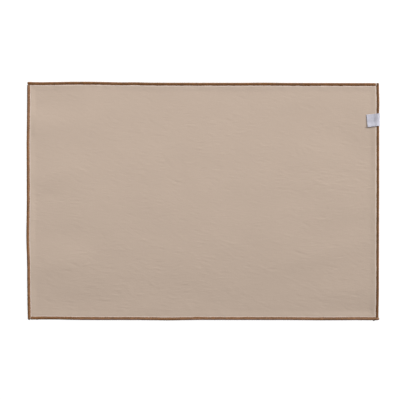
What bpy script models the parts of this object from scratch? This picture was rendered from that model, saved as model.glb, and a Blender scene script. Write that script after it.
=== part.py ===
"""Fabric placemat, lying flat on a table.

One rectangle of washed cotton, its cut edge wrapped in four overlocked runs of thread,
and a short woven tape label folded round the right-hand run near the back corner.

Metres, +Z up. +X runs along the long side to the right and +Y to the back. The origin is
on the table, under the middle of everything that is built.
"""

import math
from collections import namedtuple

import bmesh
import bpy

MM = 0.001  # one millimetre, in metres; the sizes below are in millimetres

# ---- Driving dimensions ------------------------------------------------------------------
MAT_LENGTH = 450.0  # left to right, over the edging
MAT_DEPTH = 303.0  # front to back, over the edging
MAT_MIDDLE = (-0.15, -0.12)  # the straight rectangle's middle, which puts the origin under the whole

EDGING_WIDTH = 3.9  # how far the thread reaches in over the cloth
EDGING_HEIGHT = 2.5
WRAP_THICKNESS = 0.45  # of the thread above and below the cloth
NOSE_STEPS = 4  # flats round the outer edge of an edging run
SEAM_PITCH = 9.0  # between the stations along an edging run
RUN_GAP = 0.3  # from where a run starts to the run that it meets
TAIL_START = 1.1  # a run narrows from this far before the corner where it is sewn off

CLOTH_THICKNESS = 1.3
RIM_THICKNESS = 0.9  # of the cloth squeezed under the thread
CLOTH_PITCH = 9.0  # between the grid lines on the cloth
RIM_LEVEL = 2.95  # the cloth stays level this far in from its cut edge, clear of the thread
RIM_LINES = (0.0, RIM_LEVEL, 6.5, 11.0)  # grid lines near the cut edge, measured in from it

LABEL_WIDTH = 16.0  # along the mat's side
LABEL_THICKNESS = 0.6
LABEL_AT = 103.8  # middle of the fold, towards the back from the rectangle's middle
LABEL_FOLD_OUT = 225.7  # outermost line of the fold, from the rectangle's middle
LABEL_FACE_LEG = 16.7  # from that line to the free end on the face
LABEL_UNDER_LEG = 14.5  # and to the one under the mat
LABEL_ASKEW = 6.0  # degrees that the legs lean from square
LABEL_CLEAR = 0.35  # from the edging to the label's legs
LABEL_END_DROP = 1.1  # of the face leg's free end below its crown
LABEL_CURL = 0.4  # that the free end's front corner stands up again
FOLD_STEPS = 6  # flats round the fold
LEG_STEPS = 5  # stretches along the face leg
LABEL_ROWS = 4  # strips across the label's width
SHELF_HALF = 12.0  # half the length of the mat's side that stays up over the under leg
SHELF_PAST = 2.0  # the mat stays up this far past the under leg's free end
SHELF_RAMP = 36.0  # over which it comes down again

SMOOTH_UP_TO = math.radians(50)  # steeper edges are shaded sharp

# ---- Edging runs -------------------------------------------------------------------------
# The four runs follow each other round the mat, a quarter turn apart. Each starts against
# the run before it and is sewn past the next corner, or a little short of it, where the
# share of its width in tail is left. It strays from its straight line by a steady offset,
# by a slope over its length and by soft bulges. All of these point outwards.
Bulge = namedtuple("Bulge", "at out reach")
Run = namedtuple("Run", "name turns length reach sewn_past tail offset slope bulges")
FRONT = Run(
    "edging_front", 0, MAT_LENGTH, MAT_DEPTH / 2, sewn_past=0.8, tail=0.6, offset=0.05,
    slope=0.68,
    bulges=(
        Bulge(-195, -0.65, 29), Bulge(-151, 0.41, 110),
        Bulge(-46, 0.53, 23), Bulge(152, 0.28, 24),
    ),
)
RIGHT = Run(
    "edging_right", 1, MAT_DEPTH, MAT_LENGTH / 2, sewn_past=0.0, tail=0.85, offset=-0.49,
    slope=-0.03,
    bulges=(
        Bulge(-144, -0.48, 18), Bulge(42, 0.40, 89),
        Bulge(127, 0.38, 12),
    ),
)
BACK = Run(
    "edging_back", 2, MAT_LENGTH, MAT_DEPTH / 2, sewn_past=-0.2, tail=0.5, offset=-0.38,
    slope=0.92,
    bulges=(
        Bulge(-77, 0.31, 21), Bulge(86, 0.31, 12),
        Bulge(152, 0.99, 45), Bulge(238, 1.10, 18),
    ),
)
LEFT = Run(
    "edging_left", 3, MAT_DEPTH, MAT_LENGTH / 2, sewn_past=0.2, tail=0.6, offset=-1.53,
    slope=-1.2,
    bulges=(
        Bulge(-79, 0.32, 24), Bulge(-14, 1.30, 110),
        Bulge(44, 0.95, 28), Bulge(117, 0.82, 56),
    ),
)
RUNS = (FRONT, RIGHT, BACK, LEFT)

# ---- Lie of the cloth --------------------------------------------------------------------
# Broad soft swells (high above 0) and hollows (high below 0) of the face, each an oval with
# half its length and half its width, turned anticlockwise by some degrees.
Swell = namedtuple("Swell", "x y long wide turn high")
SWELLS = (
    Swell(-200, 95, 45, 16, 16, 0.81),
    Swell(-205, 122, 30, 12, 10, -0.32),
    Swell(-192, 31, 34, 14, 20, 0.65),
    Swell(-197, 4, 34, 12, 10, -0.32),
    Swell(-178, -43, 42, 13, 2, -0.57),
    Swell(-176, -77, 44, 15, 22, 1.08),
    Swell(-140, -60, 30, 14, 30, -0.54),
    Swell(-160, -128, 55, 14, 0, -0.46),
    Swell(-150, 128, 20, 14, 60, 0.38),
    Swell(-100, -50, 70, 16, -8, 0.19),
    Swell(-80, -140, 90, 12, 0, 0.27),
    Swell(-60, -112, 90, 18, -4, -0.19),
    Swell(-30, 20, 24, 14, 60, -0.35),
    Swell(0, 45, 30, 16, 0, -0.24),
    Swell(20, -128, 60, 14, 6, -0.24),
    Swell(30, -55, 45, 16, -15, 0.19),
    Swell(90, -45, 60, 16, -10, 0.19),
    Swell(130, 128, 60, 16, 4, 0.22),
    Swell(150, -69, 50, 13, 17, 0.70),
    Swell(168, 18, 50, 16, -12, 0.19),
    Swell(170, -33, 55, 15, 16, -0.32),
    Swell(185, 77, 52, 18, -10, -0.38),
    Swell(196, -113, 55, 11, 2, 0.27),
    Swell(205, -139, 40, 10, 0, -0.32),
)

# ---- Finishes ----------------------------------------------------------------------------
Finish = namedtuple("Finish", "name colour roughness")
CLOTH = Finish("washed_cotton", (0.44, 0.35, 0.28), 0.95)
THREAD = Finish("edging_thread", (0.20, 0.095, 0.045), 0.7)
TAPE = Finish("label_tape", (0.62, 0.61, 0.66), 0.6)


def smooth(t):
    """Eases from 0 to 1 as t goes from 0 to 1, and stays level outside."""
    t = min(1.0, max(0.0, t))
    return t * t * (3.0 - 2.0 * t)


def stray(run, along):
    """How far a run's outer edge lies outside its straight line."""
    bulges = sum(b.out * math.exp(-(((along - b.at) / b.reach) ** 2)) for b in run.bulges)
    return run.offset + run.slope * along / run.length + bulges


def label_lift(x, y):
    """Height that the label's under leg gives the mat at a point."""
    beside = abs(y - LABEL_AT) - SHELF_HALF
    inwards = LABEL_FOLD_OUT - LABEL_UNDER_LEG - SHELF_PAST - x
    top = LABEL_THICKNESS + LABEL_CLEAR
    return top * (1.0 - smooth(beside / SHELF_RAMP)) * (1.0 - smooth(inwards / SHELF_RAMP))


def swell_height(x, y):
    """Sum of the swells and hollows at a point of the face."""
    total = 0.0
    for s in SWELLS:
        cosine, sine = math.cos(math.radians(s.turn)), math.sin(math.radians(s.turn))
        u = ((x - s.x) * cosine + (y - s.y) * sine) / s.long
        v = ((y - s.y) * cosine - (x - s.x) * sine) / s.wide
        total += s.high * math.exp(-u * u - v * v)
    return total


def spaced(start, end, pitch):
    """Even steps from start to end, about a pitch apart."""
    steps = max(1, round((end - start) / pitch))
    return [start + (end - start) * i / steps for i in range(steps + 1)]


def wrap_path(height, thickness, nose, steps, under, over):
    """Middle line of a wall folded round an edge, as (outwards, up) points: the under leg's
    places, then the round nose, then the upper leg's places."""
    radius = (height - thickness) / 2
    centre = nose - thickness / 2 - radius
    turns = [math.pi * i / steps for i in range(steps + 1)]
    arc = [(centre + radius * math.sin(a), height / 2 - radius * math.cos(a)) for a in turns]
    lower = [(out, thickness / 2) for out in under]
    upper = [(out, height - thickness / 2) for out in over]
    return lower + arc + upper


def grid_object(name, columns, rows, place, finish, closed=False):
    """An object made from a grid, its points put at place(column, row, level) in millimetres.
    An open grid has level 0. A closed one is extruded into a slab with levels 0 and 1."""
    bm = bmesh.new()
    bmesh.ops.create_grid(bm, x_segments=len(columns) - 1, y_segments=len(rows) - 1, size=0.5)
    if closed:
        grown = bmesh.ops.extrude_face_region(bm, geom=bm.faces[:], use_keep_orig=True)
        raised = [item for item in grown["geom"] if isinstance(item, bmesh.types.BMVert)]
        bmesh.ops.translate(bm, verts=raised, vec=(0, 0, 1))
        bmesh.ops.recalc_face_normals(bm, faces=bm.faces[:])
    for vert in bm.verts:
        column = columns[round((vert.co.x + 0.5) * (len(columns) - 1))]
        row = rows[round((vert.co.y + 0.5) * (len(rows) - 1))]
        vert.co = [value * MM for value in place(column, row, round(vert.co.z))]
    mesh = bpy.data.meshes.new(name)
    bm.to_mesh(mesh)
    bm.free()
    mesh.shade_smooth()
    mesh.set_sharp_from_angle(angle=SMOOTH_UP_TO)
    mesh.materials.append(finish)
    return bpy.data.objects.new(name, mesh)


def give_wall(thing, thickness):
    """Turns an open sheet into a wall, half of its thickness to each side."""
    wall = thing.modifiers.new("Wall", "SOLIDIFY")
    wall.thickness = thickness * MM
    wall.offset = 0.0
    wall.use_even_offset = True


def make_panel(finish):
    """The cloth. Its underside is level on the table, and rises at the rim over the lower
    thread and near the label over the under leg. Its face has the swells and hollows."""
    cut_in = EDGING_HEIGHT / 2  # the cut edge lies at the centre of the edging's nose
    half_x = MAT_LENGTH / 2 - cut_in
    half_y = MAT_DEPTH / 2 - cut_in
    rim_lift = (EDGING_HEIGHT - RIM_THICKNESS) / 2
    rim_reach = RIM_LINES[-1] - RIM_LEVEL

    def lines(half):
        rim = [half - line for line in RIM_LINES]
        return [-line for line in rim[:-1]] + spaced(-rim[-1], rim[-1], CLOTH_PITCH) + rim[-2::-1]

    def place(x, y, level):
        inner_x = smooth((half_x - abs(x) - RIM_LEVEL) / rim_reach)
        inner_y = smooth((half_y - abs(y) - RIM_LEVEL) / rim_reach)
        inner = inner_x * inner_y
        thickness = CLOTH_THICKNESS + swell_height(x, y)
        height = rim_lift * (1.0 - inner) + label_lift(x, y)
        height += level * (RIM_THICKNESS + (thickness - RIM_THICKNESS) * inner)
        to_right = (x / half_x + 1.0) / 2
        to_back = (y / half_y + 1.0) / 2
        move_x = stray(RIGHT, y) * to_right - stray(LEFT, -y) * (1.0 - to_right)
        move_y = stray(BACK, -x) * to_back - stray(FRONT, x) * (1.0 - to_back)
        return x + move_x, y + move_y, height

    return grid_object("panel", lines(half_x), lines(half_y), place, finish, closed=True)


def make_edging(run, finish):
    """One overlocked run: a channel of thread round the cut edge. In its own frame X runs
    along it, the straight outer line is Y = 0 and the cloth is on the +Y side."""
    tip = [-EDGING_WIDTH]
    path = wrap_path(EDGING_HEIGHT, WRAP_THICKNESS, 0.0, NOSE_STEPS, tip, tip)
    before, after = RUNS[run.turns - 1], RUNS[(run.turns + 1) % len(RUNS)]
    before_end = before.length / 2
    met = min(stray(before, before_end), stray(before, before_end - EDGING_WIDTH))
    start = EDGING_WIDTH + RUN_GAP - run.length / 2 - met
    corner = run.length / 2 + stray(after, -after.length / 2)
    stations = spaced(start, corner - EDGING_WIDTH, SEAM_PITCH)
    stations += [corner - TAIL_START, corner + run.sewn_past]

    def place(along, step, level):
        outwards, up = path[step]
        if along == stations[-1]:
            outwards *= run.tail
        if run is RIGHT:
            up += label_lift(run.reach, along)
        return along, -outwards - stray(run, along), up

    thing = grid_object(run.name, stations, range(len(path)), place, finish)
    give_wall(thing, WRAP_THICKNESS)
    turn = run.turns * math.pi / 2
    thing.rotation_euler.z = turn
    thing.location = (run.reach * MM * math.sin(turn), -run.reach * MM * math.cos(turn), 0.0)
    return thing


def make_label(finish):
    """The label: a tape folded loosely round the right-hand edging, its face leg coming down
    over the cloth to a free end with one corner curled up."""
    height = EDGING_HEIGHT + 2 * LABEL_THICKNESS + 2 * LABEL_CLEAR
    radius = (height - LABEL_THICKNESS) / 2
    crown = LABEL_FOLD_OUT - LABEL_THICKNESS / 2 - radius  # where the legs leave the fold
    face_end = LABEL_FOLD_OUT - LABEL_FACE_LEG
    under_end = LABEL_FOLD_OUT - LABEL_UNDER_LEG
    over = [crown + (face_end - crown) * (i + 1) / LEG_STEPS for i in range(LEG_STEPS)]
    path = wrap_path(height, LABEL_THICKNESS, LABEL_FOLD_OUT, FOLD_STEPS, [under_end], over)
    lean = math.tan(math.radians(LABEL_ASKEW))
    half = LABEL_WIDTH / 2
    slope = crown - face_end - EDGING_WIDTH  # the leg comes down beyond the edging

    def place(step, across, level):
        x, up = path[step]
        inwards = max(0.0, crown - x)
        share = inwards / (crown - face_end)
        if up > height / 2:
            drop = LABEL_END_DROP * smooth((inwards - EDGING_WIDTH) / slope)
            curl = LABEL_CURL * smooth(-across / half) * share * share
            x -= across * lean * share
            return x, LABEL_AT + across - inwards * lean, up - drop + curl
        return x, LABEL_AT + across + inwards * lean, up

    rows = spaced(-half, half, LABEL_WIDTH / LABEL_ROWS)
    thing = grid_object("label", range(len(path)), rows, place, finish)
    give_wall(thing, LABEL_THICKNESS)
    return thing


def make_material(finish):
    """A plain Principled material."""
    made = bpy.data.materials.new(finish.name)
    made.use_nodes = True
    shader = made.node_tree.nodes["Principled BSDF"]
    shader.inputs["Base Color"].default_value = (*finish.colour, 1.0)
    shader.inputs["Roughness"].default_value = finish.roughness
    shader.inputs["Metallic"].default_value = 0.0
    return made


def main():
    """Clears the scene and lays out the placemat under one empty."""
    for old in list(bpy.data.objects):
        bpy.data.objects.remove(old, do_unlink=True)
    collection = bpy.data.collections.new("Fabric placemat")
    bpy.context.scene.collection.children.link(collection)

    thread = make_material(THREAD)
    pieces = [make_panel(make_material(CLOTH))]
    pieces += [make_edging(run, thread) for run in RUNS]
    pieces.append(make_label(make_material(TAPE)))

    middle = bpy.data.objects.new("mat_middle", None)
    middle.location = (MAT_MIDDLE[0] * MM, MAT_MIDDLE[1] * MM, 0.0)
    collection.objects.link(middle)
    for piece in pieces:
        collection.objects.link(piece)
        piece.parent = middle


main()
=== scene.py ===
"""Looks of the fabric placemat: washed cotton with its crinkles, brown overlocked thread, a
folded tape label and the studio round them.

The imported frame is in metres, +Z up. +X runs along the long side to the right and +Y to the
back. Lengths in capitals, and those in the shape functions, are in millimetres and measured
from the straight rectangle's middle. Settings are in metres.
"""

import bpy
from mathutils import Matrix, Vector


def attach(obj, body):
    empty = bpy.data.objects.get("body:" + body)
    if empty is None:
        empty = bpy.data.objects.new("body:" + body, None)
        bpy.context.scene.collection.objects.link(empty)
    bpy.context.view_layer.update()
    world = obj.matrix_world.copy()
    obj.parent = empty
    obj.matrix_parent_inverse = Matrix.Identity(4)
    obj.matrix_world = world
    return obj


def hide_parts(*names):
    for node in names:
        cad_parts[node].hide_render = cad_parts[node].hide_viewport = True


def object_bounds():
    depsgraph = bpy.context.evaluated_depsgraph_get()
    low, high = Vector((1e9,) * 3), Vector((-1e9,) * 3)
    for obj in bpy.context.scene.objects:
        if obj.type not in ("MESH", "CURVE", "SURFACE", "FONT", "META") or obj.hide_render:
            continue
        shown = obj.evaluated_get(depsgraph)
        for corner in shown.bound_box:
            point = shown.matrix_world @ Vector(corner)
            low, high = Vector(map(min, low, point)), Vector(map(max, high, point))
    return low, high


bl_info = {
    "name": "Fabric placemat",
    "version": (1, 0, 0),
    "blender": (4, 5, 0),
    "location": "View3D > Sidebar > Placemat",
    "description": "Builds the cotton, the overlocked edging, the tape label and the studio",
    "category": "Object",
}

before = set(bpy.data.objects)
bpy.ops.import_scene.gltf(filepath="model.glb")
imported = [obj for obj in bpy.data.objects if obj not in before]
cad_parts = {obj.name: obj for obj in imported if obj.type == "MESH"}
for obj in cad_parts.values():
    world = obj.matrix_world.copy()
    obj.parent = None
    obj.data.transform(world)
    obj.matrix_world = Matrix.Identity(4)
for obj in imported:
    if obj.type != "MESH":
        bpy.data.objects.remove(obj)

import math
from collections import namedtuple

import bmesh
import bpy
import numpy as np
from bpy.props import FloatProperty, FloatVectorProperty, PointerProperty
from mathutils import Matrix, Vector

CAD_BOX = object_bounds()
BODY = "root"
MM = 0.001  # one millimetre, in metres

# ---- Driving dimensions, as in the part's own source -------------------------------------
MAT_LENGTH = 450.0  # left to right, over the edging
MAT_DEPTH = 303.0  # front to back, over the edging
MAT_MIDDLE = (-0.15, -0.12)  # the straight rectangle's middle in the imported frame

EDGING_WIDTH = 3.9  # how far the thread reaches in over the cloth
EDGING_HEIGHT = 2.5
CUT_IN = EDGING_HEIGHT / 2  # from the edging's outer line to the cloth's cut edge
HALF_X = MAT_LENGTH / 2 - CUT_IN  # of the cut cloth
HALF_Y = MAT_DEPTH / 2 - CUT_IN

CLOTH_THICKNESS = 1.3
RIM_THICKNESS = 0.9  # of the cloth squeezed under the thread
# Grid lines near the cut edge, measured in from it. The cloth thickens from the second of
# them to the last.
RIM_LINES = (0.0, 2.95, 6.5, 11.0)
RIM_LIFT = (EDGING_HEIGHT - RIM_THICKNESS) / 2
GRID_PITCH = (9.5, 9.0)  # of the cloth's underside, along X and Y
FACE_CUTS = (4, 11)  # grid lines that its face has between two of those
RIM_CUTS = 2  # and those that it has between two lines of the rim

TAPE_WIDTH = 16.0  # along the mat's side
TAPE_THICKNESS = 0.4
TAPE_CLEAR = 0.08  # from the tape to what it lies against
LABEL_AT = 103.8  # middle of the fold, towards the back
LABEL_FOLD_OUT = 225.7  # outermost line of the fold
LABEL_FACE_LEG = 16.7  # from that line to the free end on the face
LABEL_FACE_END = LABEL_FOLD_OUT - LABEL_FACE_LEG
LABEL_UNDER_LEG = 14.5  # from the outermost line to the free end under the mat
LABEL_ASKEW = math.tan(math.radians(6.0))  # how far the legs lean from square
SHELF_HALF = 12.0  # half the length of the mat's side that stays up over the under leg
SHELF_PAST = 2.0  # the mat stays up this far past the under leg's free end
SHELF_RAMP = 36.0  # over which it comes down again

# ---- Edging runs, as in the part's own source --------------------------------------------
# A run's rolled thread leans its own way, so each has its own crest and inner reach, measured
# in from its outer line.
Bulge = namedtuple("Bulge", "at out reach")
Run = namedtuple("Run", "name turns length reach crest inner sewn_past tail offset slope bulges")
FRONT = Run(
    "edging_front", 0, MAT_LENGTH, MAT_DEPTH / 2, crest=1.55, inner=3.95, sewn_past=0.8,
    tail=0.6, offset=0.05, slope=0.68,
    bulges=(
        Bulge(-195, -0.65, 29), Bulge(-151, 0.41, 110),
        Bulge(-46, 0.53, 23), Bulge(152, 0.28, 24),
    ),
)
RIGHT = Run(
    "edging_right", 1, MAT_DEPTH, MAT_LENGTH / 2, crest=1.15, inner=3.55, sewn_past=0.0,
    tail=0.85, offset=-0.49, slope=-0.03,
    bulges=(
        Bulge(-144, -0.48, 18), Bulge(42, 0.40, 89),
        Bulge(127, 0.38, 12),
    ),
)
BACK = Run(
    "edging_back", 2, MAT_LENGTH, MAT_DEPTH / 2, crest=1.2, inner=4.0, sewn_past=-0.2,
    tail=0.5, offset=-0.38, slope=0.92,
    bulges=(
        Bulge(-77, 0.31, 21), Bulge(86, 0.31, 12),
        Bulge(152, 0.99, 45), Bulge(238, 1.10, 18),
    ),
)
LEFT = Run(
    "edging_left", 3, MAT_DEPTH, MAT_LENGTH / 2, crest=1.85, inner=3.95, sewn_past=0.2,
    tail=0.6, offset=-1.53, slope=-1.2,
    bulges=(
        Bulge(-79, 0.32, 24), Bulge(-14, 1.30, 110),
        Bulge(44, 0.95, 28), Bulge(117, 0.82, 56),
    ),
)
RUNS = (FRONT, RIGHT, BACK, LEFT)

# ---- Lie of the cloth --------------------------------------------------------------------
# Broad soft swells (high above 0) and hollows (high below 0), as in the part's own source.
Swell = namedtuple("Swell", "x y long wide turn high")
SWELLS = (
    Swell(-200, 95, 45, 16, 16, 0.81),
    Swell(-205, 122, 30, 12, 10, -0.32),
    Swell(-192, 31, 34, 14, 20, 0.65),
    Swell(-197, 4, 34, 12, 10, -0.32),
    Swell(-178, -43, 42, 13, 2, -0.57),
    Swell(-176, -77, 44, 15, 22, 1.08),
    Swell(-140, -60, 30, 14, 30, -0.54),
    Swell(-160, -128, 55, 14, 0, -0.46),
    Swell(-150, 128, 20, 14, 60, 0.38),
    Swell(-100, -50, 70, 16, -8, 0.19),
    Swell(-80, -140, 90, 12, 0, 0.27),
    Swell(-60, -112, 90, 18, -4, -0.19),
    Swell(-30, 20, 24, 14, 60, -0.35),
    Swell(0, 45, 30, 16, 0, -0.24),
    Swell(20, -128, 60, 14, 6, -0.24),
    Swell(30, -55, 45, 16, -15, 0.19),
    Swell(90, -45, 60, 16, -10, 0.19),
    Swell(130, 128, 60, 16, 4, 0.22),
    Swell(150, -69, 50, 13, 17, 0.70),
    Swell(168, 18, 50, 16, -12, 0.19),
    Swell(170, -33, 55, 15, 16, -0.32),
    Swell(185, 77, 52, 18, -10, -0.38),
    Swell(196, -113, 55, 11, 2, 0.27),
    Swell(205, -139, 40, 10, 0, -0.32),
)

# The main creases, one by one: its middle, its length, the degrees that it is turned
# anticlockwise, how far its middle bows to the left of its run, and its height. A height
# below 0 is a trough.
Crease = namedtuple("Crease", "x y long turn bow high")
CREASES = (
    Crease(124, -65, 30, -18, -0.8, -0.10),
    Crease(128, -108, 22, -21, 0.6, 0.07),
    Crease(132, -29, 16, -29, -0.5, -0.09),
    Crease(108, -44, 22, -15, 0.9, 0.08),
    Crease(169, -56, 17, -5, -0.4, -0.07),
    Crease(143, -107, 15, -14, -0.5, -0.06),
    Crease(126, -126, 21, -4, 0.7, 0.06),
    Crease(53, -118, 14, -40, 0.8, 0.07),
    Crease(156, -101, 13, -23, -0.4, 0.08),
    Crease(107, -96, 20, -14, -0.8, 0.07),
    Crease(87, -87, 18, -5, 0.5, -0.06),
    Crease(76, -86, 34, -22, 1.4, 0.07),
    Crease(73, -124, 10, -11, 0.0, -0.06),
    Crease(83, -139, 14, -14, 0.5, 0.06),
    Crease(59, -83, 12, -22, -0.4, -0.07),
    Crease(85, -36, 14, -4, 0.4, -0.05),
    Crease(153, -19, 16, -24, -0.6, -0.07),
    Crease(-101, -28, 13, -10, 0.4, 0.08),
    Crease(-150, -80, 20, 22, -0.9, 0.08),
    Crease(-164, -82, 15, -25, 0.6, -0.10),
    Crease(-174, -89, 14, -7, -0.4, -0.10),
    Crease(-75, -49, 12, -18, 0.4, 0.08),
    Crease(-95, -60, 15, -23, -0.5, 0.08),
    Crease(-139, -67, 17, -29, 1.0, 0.06),
    Crease(-81, -119, 14, -4, 0.3, 0.09),
    Crease(-66, -106, 21, -51, 1.1, 0.06),
    Crease(-199, -127, 13, -27, -0.4, -0.10),
    Crease(-52, -61, 9, -25, 0.0, -0.10),
    Crease(-128, -43, 12, -40, 0.5, -0.07),
    Crease(-37, -122, 18, -2, -0.6, 0.06),
    Crease(-214, -24, 13, 0, 0.3, 0.05),
    Crease(-171, -133, 13, -17, 0.4, -0.06),
    Crease(-84, -38, 28, -14, 1.2, -0.05),
    Crease(30, -50, 30, -20, -1.3, 0.05),
    Crease(32, -67, 24, -34, 0.9, 0.06),
    Crease(121, 66, 25, -72, -2.6, -0.07),
    Crease(134, 68, 27, -28, 1.2, 0.06),
    Crease(73, 37, 14, -20, -0.4, -0.08),
    Crease(62, 60, 16, -18, 0.6, 0.05),
    Crease(42, 111, 15, -23, 0.5, 0.06),
    Crease(154, 23, 22, -8, -0.8, 0.07),
    Crease(139, 39, 22, -8, 0.7, -0.05),
    Crease(94, 140, 15, -27, 0.5, 0.05),
    Crease(162, 142, 12, -22, 0.3, 0.06),
    Crease(11, 85, 17, -31, 0.7, 0.05),
    Crease(-156, 39, 27, -21, 1.0, 0.07),
    Crease(-182, 69, 13, -34, -0.4, 0.07),
    Crease(-81, 47, 14, -30, 0.5, -0.07),
    Crease(-43, 51, 36, -50, -2.8, -0.08),
    Crease(-37, 28, 28, -28, -1.4, -0.07),
    Crease(-69, 128, 18, -45, 0.8, -0.07),
    Crease(-67, 104, 22, -48, -1.0, -0.06),
    Crease(-90, 86, 32, -7, 1.3, -0.06),
    Crease(-143, 85, 20, 84, 1.2, -0.06),
    Crease(-122, 105, 13, -67, 0.5, -0.06),
    Crease(-130, 120, 14, -55, -0.6, 0.05),
    Crease(-165, 133, 28, -18, 1.0, 0.04),
    Crease(-78, 34, 14, -36, 0.4, 0.06),
    Crease(-15, 50, 24, 8, -0.9, 0.04),
)
MAIN_CREASE_WIDE = 1.0  # from a main crease's line to where it has sunk to a third

# Between them lie ripples: groups of small crinkles side by side, strewn with a seed. A
# zone raises or lowers their height round its middle.
RIPPLE_SEED = 11
RIPPLE_COUNT = 1000
RIPPLE_STEPS = (1.5097554, 1.1396806)  # from group to group, so that they lie evenly
RIPPLE_TURN = -11.0  # their usual direction, in degrees
RIPPLE_SPREAD = 15.0  # of a group's direction round that
RIPPLE_HIGH = 0.06  # a usual group's height
RIPPLE_UNEVEN = (-0.1, 0.35)  # logarithm of a group's share of that: the usual one, its spread
RIPPLE_MOST = 1.6  # and the most that the share is
RIPPLE_STRAY = 4.0  # how far a group lies off its even place, and a crinkle along its group
RIPPLE_GROUP = (2, 7)  # fewest crinkles in a group, and one more than the most
RIPPLE_GAP = 3.0  # from one crinkle of a group to the next
RIPPLE_LONG = (2.5, 0.35)  # logarithm of a crinkle's length: the usual one, its spread
RIPPLE_WIDE = (0.62, 0.9)  # least and most, as wide as MAIN_CREASE_WIDE says
RIPPLE_BOW = 0.003  # how much a group bows, for its length squared
RIPPLE_RIDGES = 0.7  # share of the crinkles that are ridges and not troughs
CRINKLE_ASIDE = 0.35  # how far a crinkle lies off its place across its group
CRINKLE_TURN = 4.0  # how far it is turned from its group's direction, in degrees
CRINKLE_BOW = 0.0008  # how much it bows beside its group
Zone = namedtuple("Zone", "x y long wide gain")
ZONES = (
    Zone(0, -120, 100, 35, 0.1),
    Zone(30, 120, 90, 40, -0.15),
    Zone(-80, -110, 110, 40, 0.3),
    Zone(150, 20, 60, 40, 0.35),
    Zone(-60, 60, 70, 60, 0.1),
    Zone(190, 120, 60, 30, -0.2),
    Zone(-150, 110, 80, 50, -0.3),
    Zone(-20, 140, 120, 25, -0.3),
)
RASTER = 0.4  # spacing at which the crease heights are laid down before the cloth reads them
CREASES_FROM = 1.5  # the cloth's creases and gathers rise from this far in from its cut edge
CREASES_OVER = 3.0  # and have their full height this much further in
GATHER_REACH = 8.0  # from one gather at the rim to the next, and how far in they sink away

# ---- Thread, tape and stitches -----------------------------------------------------------
ROLL_WIDE = 3.1  # from the rolled thread's outer line over its crest to where it would close
ROLL_MEETS = math.radians(150)  # where the roll turns into feet, from its outermost line
ROLL_ROWS = 16  # faces round the roll
FOOT_ROWS = 2  # faces along a foot, where a wrap lies flat on the cloth
FOOT_HIGH = (0.47, 0.56)  # a foot's height at its tip and halfway, from the cloth's middle
FOOT_GAP = 0.4  # how far the notch between two tips goes in
FOOT_STRAY = 0.105  # how unevenly the tips reach in
FOOT_DRIFT = (4.0, 0.15)  # and how that changes along a run: over what length, how much
WRAP_CUTS = 3  # grid lines inside a wrap's width
WRAP_STRAY = 0.1  # how far a groove lies off its even place, as a share of the pitch
WRAP_SPREAD = 0.025  # spread of the wraps' sizes, where a usual one is 1
WRAP_FULL = 1.06  # a usual wrap's crown, where the solid's section is 1
WRAP_DRIFT = (9.0, 0.03)  # how the crowns change along a run: over what length, how much
START_CLEAR = 0.05  # from the run before to a run's start
CHANNEL_HALF = 0.44  # half the height of the channel that holds the cloth
CHANNEL_NOSE = 1.2  # that channel's outermost line, in from the roll's
CHANNEL_MOUTH = 0.3  # and its innermost, out from the feet's tips
TAIL_START = 1.1  # a run narrows from this far before the corner where it is sewn off
STITCH_IN = 0.65  # the needle's stitches lie this far out from the feet's tips
STITCH_UP = 1.9  # and this high
STITCH_PITCH = 2.45
STITCH_STRAY = (0.06, 0.05)  # how far one lies off its place, along the run and across it
STITCH_LEAN = (3.0, 2.5)  # how far one leans inwards in degrees, and its spread
STITCH_LONG = 2.25
STITCH_THICK = 0.3

# A thread end is an arc: its centre, its bend's radius, how thick it is, the direction that
# it starts in as seen from its centre and how far round it goes, in degrees.
ThreadEnd = namedtuple("ThreadEnd", "x y z bend thick turn sweep")
# The ends sit where the corners lie in deep shadow; their very dark colour paints that shade.
THREAD_ENDS = (
    ThreadEnd(222.8, 148.0, 2.3, 0.75, 0.85, -70, 290),
    ThreadEnd(218.1, -151.75, 0.65, 0.95, 0.8, 168, 204),
    ThreadEnd(-222.6, -149.7, 2.2, 0.4, 0.65, 120, 280),
    ThreadEnd(-211.6, -147.2, 0.6, 4.0, 0.5, 252, 36),
    ThreadEnd(-221.4, 148.4, 2.2, 0.4, 0.6, 30, 280),
)

FOLD_DEEP = 1.6  # how far the tape's middle line goes round outside its crown
FOLD_STEPS = 16  # faces round the fold
OVER_STEPS = 33  # faces along the tape's leg on the face
UNDER_STEP = 0.9  # length of a face along the leg under the mat
ACROSS_STEP = 0.5  # width of a face across the tape
CLIMB_FROM = 217.8  # from here outwards that leg climbs onto the thread
CLIMB_OVER = 4.8  # and is on top of it this much further out
TAPE_WAVE = 0.1  # how high its free end waves
TACKS_AT = 219.4  # where the row of small stitches holds that leg
TACKS_IN = 1.8  # from the tape's sides to the row's ends
TACK_PITCH = 2.1
TACK_LONG = 1.5
TACK_THICK = 0.26

LAY_MAP = "Lay"  # the cloth's own map, in metres from its back left corner as cut
TURN_MAP = "Turns"  # the thread's: wraps along the run, metres round the roll
TAPE_MAP = "Tape"  # the tape's: metres across and along it
CREASE_LAYER = "crease"  # the crease height at a point of the cloth, in millimetres

# ---- View --------------------------------------------------------------------------------
PHOTO_PIXELS = 400
PIXEL = 1.2749  # what one pixel of the photograph shows
MIDDLE_PIXEL = (202.48, 200.63)  # where it shows the straight rectangle's middle
SENSOR = 36.0
FLOOR_HALF = 30.0  # half the floor's side, in metres, as are the lights' places and sizes
KEY_AT = (1.73, 1.26, 1.0)
KEY_SOFTNESS = math.radians(24)
BACK_AT = (0.0, 0.6, 1.3)
BACK_AIM = (0.0, 0.14, 0.0)
BACK_SIZE = (1.6, 0.6)
BACK_SPREAD = math.radians(45)


# ==== Shapes ==============================================================================
def smooth(t):
    """Eases from 0 to 1 as t goes from 0 to 1, and stays level outside."""
    t = np.clip(t, 0.0, 1.0)
    return t * t * (3.0 - 2.0 * t)


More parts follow.
